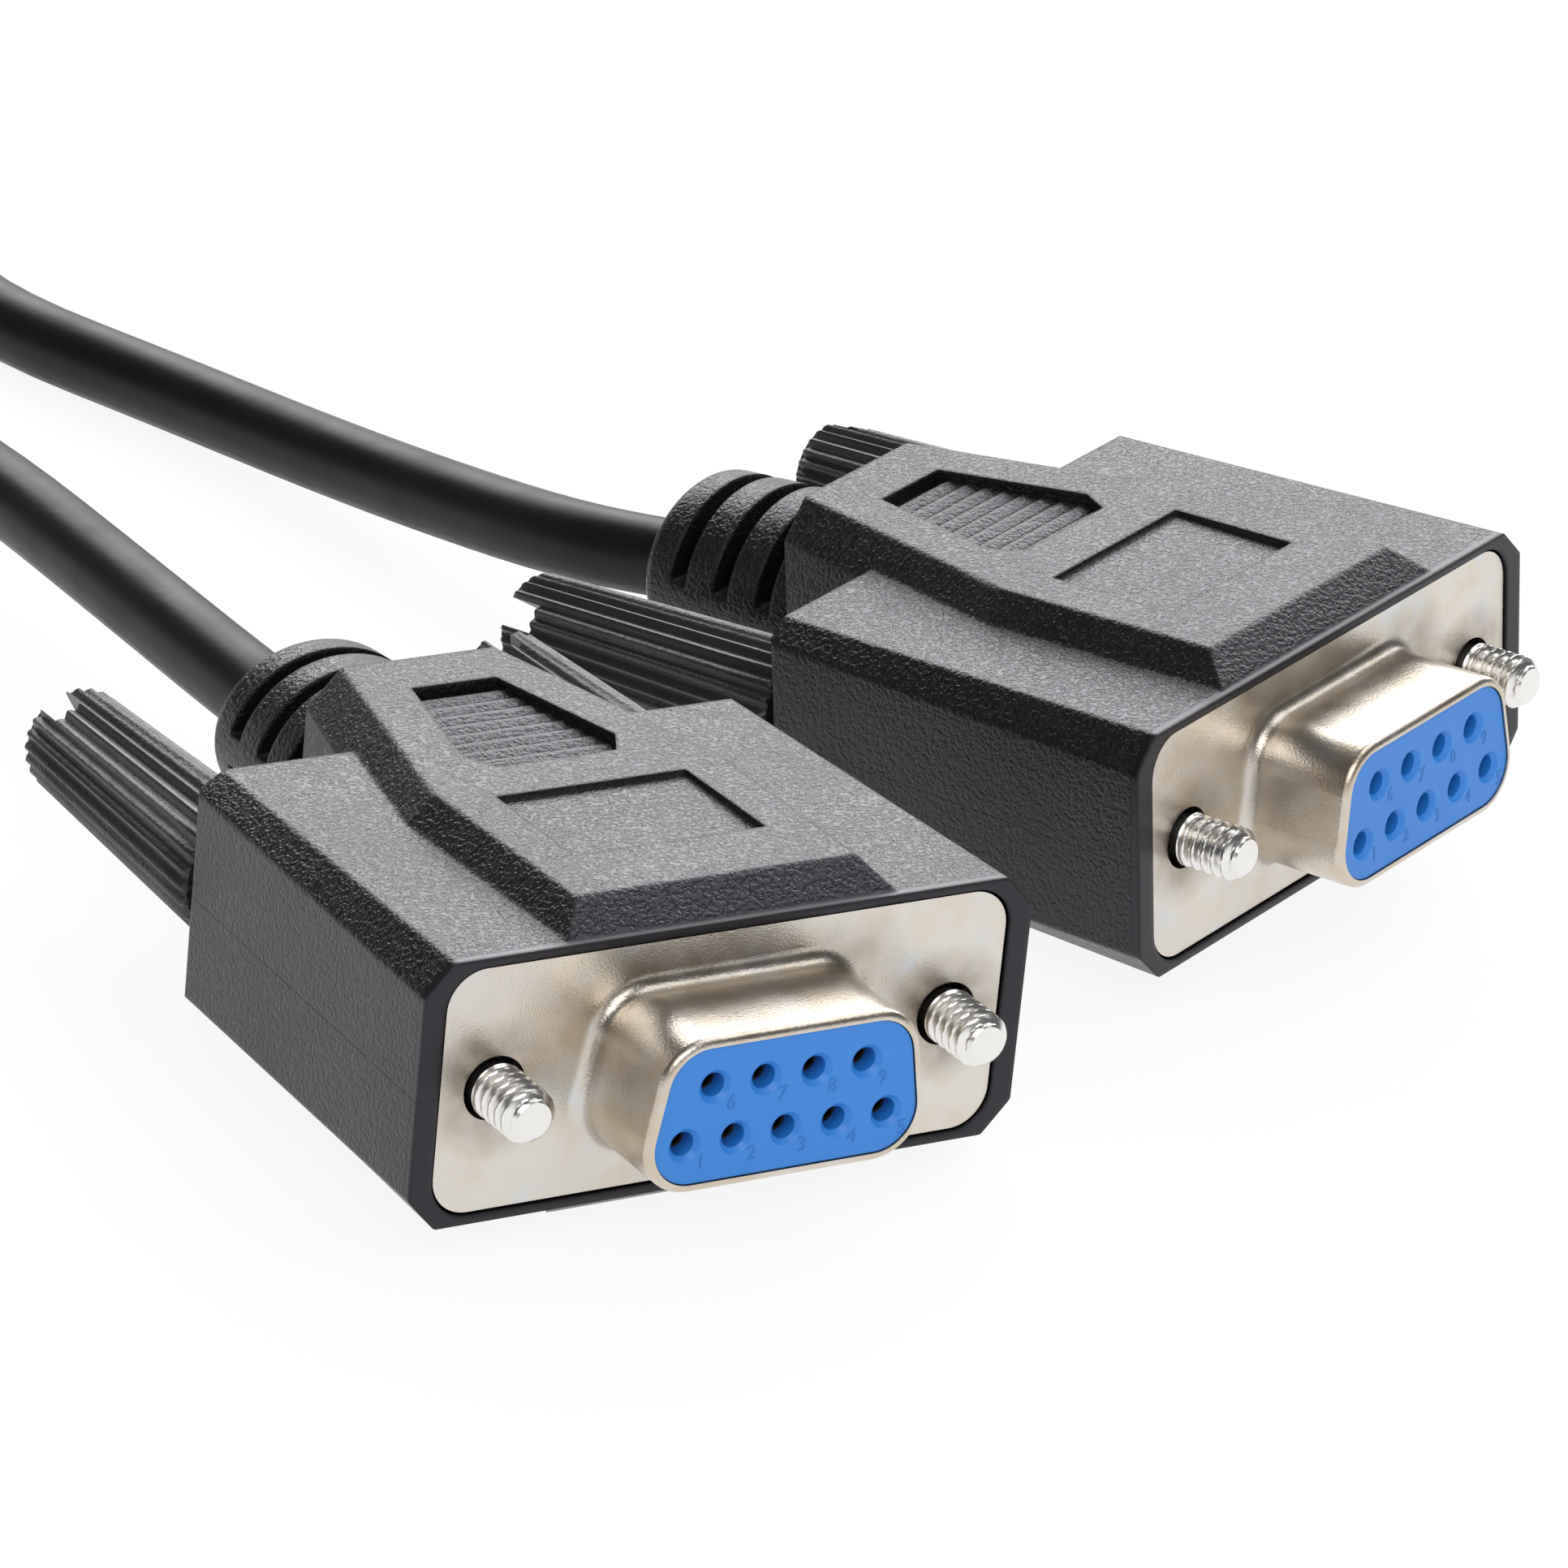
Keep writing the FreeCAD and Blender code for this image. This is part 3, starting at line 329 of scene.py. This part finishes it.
plateFinish = {
    "cream": (0.69, 0.625, 0.535), "pale": (0.735, 0.695, 0.635),
    "mottle": 2.2 * mm, "mottleBand": (0.3, 0.55),
    "cool": (0.66, 0.69, 0.72), "coolPatch": 3.1 * mm, "coolBand": (0.54, 0.66), "coolShare": 0.8,
    "shell": (0.71, 0.655, 0.585), "brownShell": (0.65, 0.56, 0.445), "brownPatch": 2.6 * mm,
    "brownBand": (0.36, 0.62), "shellFoot": (-0.9 * mm, -0.3 * mm),
    "roughness": 0.3, "roughFrom": 0.27, "roughTo": 0.37, "fine": 0.13 * mm, "fineDeep": 0.014 * mm,
}
paintedShadeFinish = {  # painted shade round the screw holes and a painted dark reflection of the socket shell along its foot, both in brown
    "colour": (0.27, 0.225, 0.17), "holeReach": (1.6 * mm, 3.8 * mm), "holeShare": 0.9,
    "footHalfWide": 7.4 * mm, "footHalfTall": 3.9 * mm, "footReach": (0.5 * mm, 2.6 * mm), "footShare": 0.55,
    "topFade": (-1.0 * mm, 4.0 * mm), "lowShare": 0.25, "patch": 1.5 * mm, "paleShare": 0.45,
}


def smudges(nodes, links, end):
    s = paintedShadeFinish
    across = mathNode(nodes, links, "ABSOLUTE", alongConnector(nodes, links, end, acrossAxis))
    up = alongConnector(nodes, links, end, upAxis)
    fromHole = distanceFrom(nodes, links, mathNode(nodes, links, "SUBTRACT", across, pinSpacing / 2), up)
    # painted shade round the screw holes
    byHole = spread(nodes, links, fromHole, *s["holeReach"], s["holeShare"], 0.0)
    # painted dark reflection of the socket shell along its foot, stronger above the foot
    beside = mathNode(nodes, links, "SUBTRACT", across, s["footHalfWide"])
    above = mathNode(nodes, links, "SUBTRACT", up, s["footHalfTall"])
    fromFoot = distanceFrom(nodes, links, mathNode(nodes, links, "MAXIMUM", beside, 0.0),
                            mathNode(nodes, links, "MAXIMUM", above, 0.0))
    onTop = spread(nodes, links, up, *s["topFade"], s["lowShare"], 1.0)
    byFoot = mathNode(nodes, links, "MULTIPLY", onTop,
                      spread(nodes, links, fromFoot, *s["footReach"], s["footShare"], 0.0))
    uneven = spread(nodes, links, noise(nodes, links, s["patch"], 3.0), *noiseRange, s["paleShare"], 1.0)
    shadeAndReflection = mathNode(nodes, links, "MAXIMUM", byHole, byFoot)
    return mathNode(nodes, links, "MULTIPLY", shadeAndReflection, uneven)


def shellMaterial(end):
    p = plateFinish
    material, nodes, links, shader = newMaterial("platedShell_" + end, p["cream"], p["roughness"], 1.0)
    mottle = noise(nodes, links, p["mottle"], 3.0)
    mottled = ramp(nodes, links, mottle, p["mottleBand"], p["cream"], p["pale"])
    coolPatch = spread(nodes, links, noise(nodes, links, p["coolPatch"], 4.0, 0.6), *p["coolBand"],
                       0.0, p["coolShare"])
    mottled = blendColours(nodes, links, coolPatch, mottled, p["cool"])
    # painted shade and painted reflection laid over the plate's colour
    plate = blendColours(nodes, links, smudges(nodes, links, end), mottled, paintedShadeFinish["colour"])
    onPlate = spread(nodes, links, alongConnector(nodes, links, end, backAxis), *p["shellFoot"])
    browned = ramp(nodes, links, noise(nodes, links, p["brownPatch"], 3.0), p["brownBand"],
                   p["shell"], p["brownShell"])
    links.new(blendColours(nodes, links, onPlate, browned, plate), shader.inputs["Base Color"])
    unevenGloss(nodes, links, shader, mottle, p["roughFrom"], p["roughTo"])
    raised(nodes, links, shader, noise(nodes, links, p["fine"], 1.0), p["fineDeep"])
    return material


blueFinish = {
    "colour": (0.024, 0.195, 0.60), "roughness": 0.38, "roughFrom": 0.34, "roughTo": 0.44, "patch": 2 * mm,
    "fine": 0.3 * mm, "fineDeep": 0.01 * mm, "fineStrength": 0.4,
}


def blueMaterial():
    b = blueFinish
    material, nodes, links, shader = newMaterial("blueInsulator", b["colour"], b["roughness"])
    raised(nodes, links, shader, noise(nodes, links, b["fine"]), b["fineDeep"], b["fineStrength"])
    unevenGloss(nodes, links, shader, noise(nodes, links, b["patch"]), b["roughFrom"], b["roughTo"])
    return material


plainFinish = {"strength": 0.5, "patchGrains": 8, "roughSpan": 0.12}


def plainMaterial(name, colour, roughness, metallic=0.0, grain=0.25 * mm, depth=0.006 * mm, specular=0.5):
    material, nodes, links, shader = newMaterial(name, colour, roughness, metallic)
    shader.inputs["Specular IOR Level"].default_value = specular
    raised(nodes, links, shader, noise(nodes, links, grain), depth, plainFinish["strength"])
    wide = noise(nodes, links, plainFinish["patchGrains"] * grain)
    span = plainFinish["roughSpan"]
    unevenGloss(nodes, links, shader, wide, roughness * (1 - span), roughness * (1 + span))
    return material


finishes = {
    "dark_insulator": plainMaterial("darkInsulator", (0.016, 0.016, 0.017), 0.5),
    # the contacts are dimmed brass, painted shade for the inside of the pin holes
    "contact_metal": plainMaterial("holeShadeContact", (0.22, 0.17, 0.09), 0.42, metallic=1.0),
    "wire_insulation": plainMaterial("wireInsulation", (0.42, 0.05, 0.04), 0.45),
    "inner_moulding": plainMaterial("innerMoulding", (0.62, 0.62, 0.58), 0.5),
    "screw_steel": plainMaterial("screwSteel", (0.86, 0.845, 0.82), 0.25, metallic=1.0, grain=0.2 * mm),
    "clip_steel": plainMaterial("clipSteel", (0.5, 0.5, 0.52), 0.32, metallic=1.0),
    "grip_plastic": plainMaterial("gripPlastic", (0.014, 0.014, 0.015), 0.40, grain=0.2 * mm,
                                  depth=0.07 * mm, specular=0.6),
    "cable_sheath": plainMaterial("cableSheath", (0.005, 0.005, 0.0055), 0.42, grain=0.5 * mm,
                                  depth=0.015 * mm, specular=0.25),
    "blue_insulator": blueMaterial(),
    # the pin numbers are a darker blue, painted shade standing in for engraved digits
    "blue_mark": plainMaterial("engravingShadeBlue", (0.019, 0.155, 0.50), 0.42),
}
endFinishes = {end: {"hood_pvc": hoodMaterial(end), "plated_shell": shellMaterial(end)} for end in ends}

slotOf = {  # the start of a node's name, and its slot
    "hood": "hood_pvc", "front_shell": "plated_shell", "rear_shell": "plated_shell",
    "front_insulator": "blue_insulator", "rear_insulator": "dark_insulator", "contact": "contact_metal",
    "wire_ends": "wire_insulation", "inner_mould": "inner_moulding", "clip": "clip_steel",
    "jackscrew": "screw_steel", "thumb_grip": "grip_plastic", "cable": "cable_sheath",
}


def dressNodes():
    for name, node in frame["nodes"].items():
        slot = next(slot for start, slot in slotOf.items() if name.startswith(start))
        node.data.materials.clear()
        node.data.materials.append(finishes[slot] if slot in finishes else endFinishes[name[-1]][slot])


dressNodes()
print("materials set")


# Cable

cableSizes = {  # in metres, degrees and turns; sheathStart and tail are in each connector's own frame
    "radius": 0.00225, "length": 1.8, "sheathStart": (0, 0.026, 0), "tail": (0, 0.0425, -0.0007),
    "routeA": [(0.0005, 0.0485, 0.00735), (0.0009, 0.0637, 0.0071), (0.0003, 0.0775, 0.0065),
               (-0.0066, 0.089, 0.006), (-0.0172, 0.0987, 0.0063), (-0.02496, 0.10844, 0.00675)],
    "routeB": [(0.0319, 0.04375, 0.00675), (0.0292, 0.04975, 0.00595), (0.0277, 0.06, 0.0045),
               (0.0259, 0.07185, 0.0032), (0.02285, 0.08635, 0.0024), (0.0187, 0.0992, 0.00225),
               (0.01896, 0.10844, 0.00225)],
    "coilCentre": (-0.003, 0.149), "coilRadius": 0.0345, "topZ": 0.00675, "lowZ": 0.00225,
    "enterAt": 200.0, "leaveAt": -20.0, "lead": 0.0186, "wholeTurns": 9, "dropTurns": 0.28, "dropDip": 0.0003,
    "pointsPerTurn": 24, "roundSteps": 5, "splineOrder": 3, "splineSteps": 4,
}


def coilPoint(degrees, radius, height):
    angle = math.radians(degrees)
    x, y = cableSizes["coilCentre"]
    return (x + radius * math.cos(angle), y + radius * math.sin(angle), height)


def coilPoints():
    c = cableSizes
    pitch, count = 2 * c["radius"], c["pointsPerTurn"]
    overshoot = 1 / (0.75 + 0.25 * math.cos(2 * math.pi / count))  # the spline runs just inside its points
    turning = c["enterAt"] - c["leaveAt"] + 360.0 * c["wholeTurns"]
    dropSteps = round(c["dropTurns"] * count)
    layerSteps = round((turning / 360 - c["dropTurns"]) / 2 * count)
    stepTurn = turning / (2 * layerSteps + dropSteps)
    turns = layerSteps * stepTurn / 360
    inner = c["coilRadius"] - pitch * turns
    points = []
    for step in range(2 * layerSteps + dropSteps + 1):
        if step <= layerSteps:  # the top layer, inwards
            radius, height = c["coilRadius"] - pitch * turns * step / layerSteps, c["topZ"]
        elif step < layerSteps + dropSteps:  # down to the floor
            share = (step - layerSteps) / dropSteps
            radius = inner - c["dropDip"] * math.sin(math.pi * share)
            height = c["topZ"] + (c["lowZ"] - c["topZ"]) * share
        else:  # the lower layer, outwards
            share = (step - layerSteps - dropSteps) / layerSteps
            radius, height = inner + pitch * turns * share, c["lowZ"]
        points.append(coilPoint(c["enterAt"] - step * stepTurn, radius * overshoot, height))
    return points


def coilLead(degrees, height, turn):
    touch = Vector(coilPoint(degrees, cableSizes["coilRadius"], height))
    angle = math.radians(degrees)
    heading = Vector((-math.sin(angle), math.cos(angle), 0)) * turn
    return touch + heading * cableSizes["lead"]


def makeCable():
    c = cableSizes
    route = [places["a"] @ Vector(c["sheathStart"]), places["a"] @ Vector(c["tail"])]
    route += c["routeA"] + [coilLead(c["enterAt"], c["topZ"], 1)]
    route += coilPoints()
    route += [coilLead(c["leaveAt"], c["lowZ"], -1)] + c["routeB"][::-1]
    route += [places["b"] @ Vector(c["tail"]), places["b"] @ Vector(c["sheathStart"])]
    curve = bpy.data.curves.new("round_cable", "CURVE")
    curve.dimensions = "3D"
    curve.bevel_depth = c["radius"]
    curve.bevel_resolution = c["roundSteps"]
    curve.use_fill_caps = True
    spline = curve.splines.new("NURBS")
    spline.points.add(len(route) - 1)
    for point, place in zip(spline.points, route):
        point.co = (*place, 1)
    spline.order_u = c["splineOrder"]
    spline.use_endpoint_u = True
    spline.resolution_u = c["splineSteps"]
    curve.materials.append(finishes["cable_sheath"])
    cable = addObject("round_cable", curve)
    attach(cable, "cable_assembly")
    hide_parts("cable_run_a", "cable_coil", "cable_run_b")


makeCable()
print("cable made")


# Pieces made as meshes

def addPiece(name, mesh, place, slot, body, replaced):
    mesh.transform(place)
    mesh.materials.append(finishes[slot])
    piece = addObject(name, mesh)
    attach(piece, body)
    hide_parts(replaced)


def faceOutwards(mesh):
    bm = bmesh.new()
    bm.from_mesh(mesh)
    bmesh.ops.recalc_face_normals(bm, faces=bm.faces)
    bm.to_mesh(mesh)
    bm.free()


def smoothBelow(mesh, degrees):
    mesh.shade_smooth()
    mesh.set_sharp_from_angle(angle=math.radians(degrees))


# a ring is (place along the axis, what radiusAt needs for it), and both ends are closed by fans
def turnedMesh(name, rings, count, radiusAt):
    vertices, faces = [], []
    for ring in rings:
        for j in range(count):
            angle = 2 * math.pi * j / count
            radius = radiusAt(ring, angle)
            vertices.append((radius * math.cos(angle), ring[0], radius * math.sin(angle)))
    for i in range(len(rings) - 1):
        for j in range(count):
            k = (j + 1) % count
            faces.append((i * count + j, i * count + k, (i + 1) * count + k, (i + 1) * count + j))
    for ring, start in ((rings[0], 0), (rings[-1], (len(rings) - 1) * count)):
        hub = len(vertices)
        vertices.append((0, ring[0], 0))
        faces += [(hub, start + j, start + (j + 1) % count) for j in range(count)]
    mesh = bpy.data.meshes.new(name)
    mesh.from_pydata(vertices, [], faces)
    mesh.validate()
    faceOutwards(mesh)
    return mesh


screwSizes = {
    "tip": -3.8 * mm, "chamfer": 0.5 * mm, "radius": 1.42 * mm, "rootRadius": 1.04 * mm, "pitch": 0.635 * mm,
    "crestShare": 0.10, "flankShare": 0.30, "runOutPitches": 0.8, "threadEnd": -0.35 * mm,
    "shoulder": 0.12 * mm, "shankRadius": 1.2 * mm, "grooveStart": 2.15 * mm, "grooveEnd": 2.65 * mm,
    "grooveRadius": 0.85 * mm, "shankEnd": 40.0 * mm, "around": 64, "threadStep": 0.045 * mm, "sharpFrom": 40,
}


def screwRadiusAt(ring, angle):
    at, plainRadius = ring
    s = screwSizes
    if plainRadius is not None:
        return plainRadius
    phase = (at / s["pitch"] - angle / (2 * math.pi)) % 1.0  # flat crest, sloped flank, flat root
    depth = min(1.0, max(0.0, (abs(phase - 0.5) - s["crestShare"]) / s["flankShare"]))
    runOut = min(1.0, max(0.0, (s["threadEnd"] - at) / (s["runOutPitches"] * s["pitch"])))
    radius = s["radius"] - (s["radius"] - s["rootRadius"]) * depth * runOut
    return min(radius, s["radius"] - s["chamfer"] + (at - s["tip"]))


def makeScrews():
    s = screwSizes
    rings, at = [], s["tip"]
    while at < s["threadEnd"]:
        rings.append((at, None))
        at += s["threadStep"]
    rings += [(s["threadEnd"], s["radius"]), (s["threadEnd"] + s["shoulder"], s["shankRadius"]),
              (s["grooveStart"], s["shankRadius"]), (s["grooveStart"], s["grooveRadius"]),
              (s["grooveEnd"], s["grooveRadius"]), (s["grooveEnd"], s["shankRadius"]),
              (s["shankEnd"], s["shankRadius"])]
    for end in ends:
        for side in sides:
            name = "threaded_jackscrew_%s_%s" % (side, end)
            mesh = turnedMesh(name, rings, s["around"], screwRadiusAt)
            smoothBelow(mesh, s["sharpFrom"])
            addPiece(name, mesh, screwPlace(side, end), "screw_steel", "thumbscrew_%s_%s" % (side, end),
                     "jackscrew_%s_%s" % (side, end))


makeScrews()
print("jackscrews made")


gripSizes = {  # slotTurn is in degrees from the line that joins the two screws
    "front": 25.3 * mm, "end": 44.2 * mm, "frontRadius": 3.5 * mm, "endRadius": 2.85 * mm, "steps": 6,
    "ribs": 24, "ribTall": 0.27 * mm, "perRib": 8, "crestPower": 0.85,
    "edge": 0.35 * mm, "edgeStep": 0.1 * mm, "edgeShare": 0.4, "slotWide": 1.6 * mm, "slotDeep": 2.1 * mm,
    "slotTurn": {("left", "a"): 120.0, ("right", "a"): 100.0, ("left", "b"): 144.0, ("right", "b"): 62.0},
    "sharpFrom": 35,
}


def gripRadiusAt(ring, angle):
    at, inset = ring
    g = gripSizes
    share = (at - g["front"]) / (g["end"] - g["front"])
    crest = g["frontRadius"] + (g["endRadius"] - g["frontRadius"]) * share
    rib = (0.5 + 0.5 * math.cos(g["ribs"] * angle)) ** g["crestPower"]
    return crest - inset - (g["ribTall"] * (1 - rib) if inset < g["ribTall"] else 0)


def slotCutter(turn):
    g = gripSizes
    mesh = bpy.data.meshes.new("slotCutter")
    bm = bmesh.new()
    bmesh.ops.create_cube(bm, size=1.0)
    bmesh.ops.scale(bm, verts=bm.verts, vec=(4 * g["frontRadius"], 2 * g["slotDeep"], g["slotWide"]))
    bmesh.ops.translate(bm, verts=bm.verts, vec=(0, g["end"], 0))
    bmesh.ops.rotate(bm, verts=bm.verts, cent=(0, 0, 0), matrix=Matrix.Rotation(math.radians(-turn), 3, "Y"))
    bm.to_mesh(mesh)
    bm.free()
    return addObject("slotCutter", mesh)


def slottedMesh(name, mesh, turn):
    knob, blade = addObject("knobBlank", mesh), slotCutter(turn)
    cut = knob.modifiers.new("slot", "BOOLEAN")
    cut.operation, cut.object, cut.solver = "DIFFERENCE", blade, "EXACT"
    bpy.context.view_layer.update()
    done = bpy.data.meshes.new_from_object(knob.evaluated_get(bpy.context.evaluated_depsgraph_get()))
    done.name = name
    bpy.data.objects.remove(knob)
    bpy.data.objects.remove(blade)
    return done


def makeGrips():
    g = gripSizes
    front, back = g["front"], g["end"]
    eased = g["edge"] * g["edgeShare"]
    rings = [(front, g["edge"]), (front + g["edgeStep"], eased), (front + g["edge"], 0)]
    rings += [(front + (back - front) * i / g["steps"], 0) for i in range(1, g["steps"])]
    rings += [(back - g["edge"], 0), (back - g["edgeStep"], eased), (back, g["edge"])]
    for end in ends:
        for side in sides:
            name = "ribbed_grip_%s_%s" % (side, end)
            blank = turnedMesh(name, rings, g["ribs"] * g["perRib"], gripRadiusAt)
            mesh = slottedMesh(name, blank, g["slotTurn"][(side, end)])
            smoothBelow(mesh, g["sharpFrom"])
            addPiece(name, mesh, screwPlace(side, end), "grip_plastic", "thumbscrew_%s_%s" % (side, end),
                     "thumb_grip_%s_%s" % (side, end))


makeGrips()
print("thumb grips made")


slatSizes = {
    "front": 17.4 * mm, "shoulder": 19.2 * mm, "end": 27.85 * mm,
    "frontHalf": 3.35 * mm, "shoulderHalf": 4.3 * mm, "endHalf": 2.4 * mm, "intoWall": 0.12 * mm,
    "pitch": 1.1 * mm, "long": 0.80 * mm, "foot": 6.85 * mm, "frontTop": 7.3 * mm, "backTop": 7.51 * mm,
}
boxFaces = ((0, 1, 2, 3), (4, 5, 6, 7), (0, 1, 5, 4), (1, 2, 6, 5), (2, 3, 7, 6), (3, 0, 4, 7))


def slatHalfWide(at):
    s = slatSizes
    if at < s["shoulder"]:
        share, near, far = (at - s["front"]) / (s["shoulder"] - s["front"]), s["frontHalf"], s["shoulderHalf"]
    else:
        share, near, far = (at - s["shoulder"]) / (s["end"] - s["shoulder"]), s["shoulderHalf"], s["endHalf"]
    return near + (far - near) * share + s["intoWall"]


def slatMesh(name):
    s = slatSizes
    vertices, faces = [], []
    for above in (1, -1):
        for i in range(int((s["end"] - s["front"]) / s["pitch"])):
            start, first = s["front"] + i * s["pitch"], len(vertices)
            for at, top in ((start, s["frontTop"]), (start + s["long"], s["backTop"])):
                half = slatHalfWide(at)
                vertices += [(-half, at, above * s["foot"]), (half, at, above * s["foot"]),
                             (half, at, above * top), (-half, at, above * top)]
            faces += [[first + corner for corner in corners] for corners in boxFaces]
    mesh = bpy.data.meshes.new(name)
    mesh.from_pydata(vertices, [], faces)
    faceOutwards(mesh)
    return mesh


def makeSlats():
    for end in ends:
        mesh = slatMesh("finger_slats_" + end)
        mesh.transform(places[end])
        mesh.materials.append(endFinishes[end]["hood_pvc"])
        slats = addObject(mesh.name, mesh)
        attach(slats, "cable_assembly")


makeSlats()
print("finger slats made")


numberSizes = {
    "tall": 1.1 * mm, "thick": 0.025 * mm, "curveSteps": 2, "face": -6.0 * mm,
    "across": 0.98 * mm, "down": 0.98 * mm, "pitch": 2.77 * mm, "rowHalfGap": 1.42 * mm,
}


def makeNumbers():
    n = numberSizes
    spots = [((i - 2) * n["pitch"], -n["rowHalfGap"]) for i in range(5)]
    spots += [((i - 1.5) * n["pitch"], n["rowHalfGap"]) for i in range(4)]
    toFront = Matrix.Rotation(math.radians(90), 4, "X")
    for end in ends:
        for number, (x, z) in enumerate(spots, start=1):
            words = bpy.data.curves.new("pin_number_%d_%s" % (number, end), "FONT")
            words.body = str(number)
            words.size, words.extrude = n["tall"], n["thick"]
            words.resolution_u = n["curveSteps"]
            words.align_x, words.align_y = "CENTER", "CENTER"
            words.materials.append(finishes["blue_mark"])
            mark = addObject(words.name, words)
            mark.matrix_world = (places[end] @ Matrix.Translation((x + n["across"], n["face"], z - n["down"]))
                                 @ toFront)
            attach(mark, "cable_assembly")


makeNumbers()
print("pin numbers made")
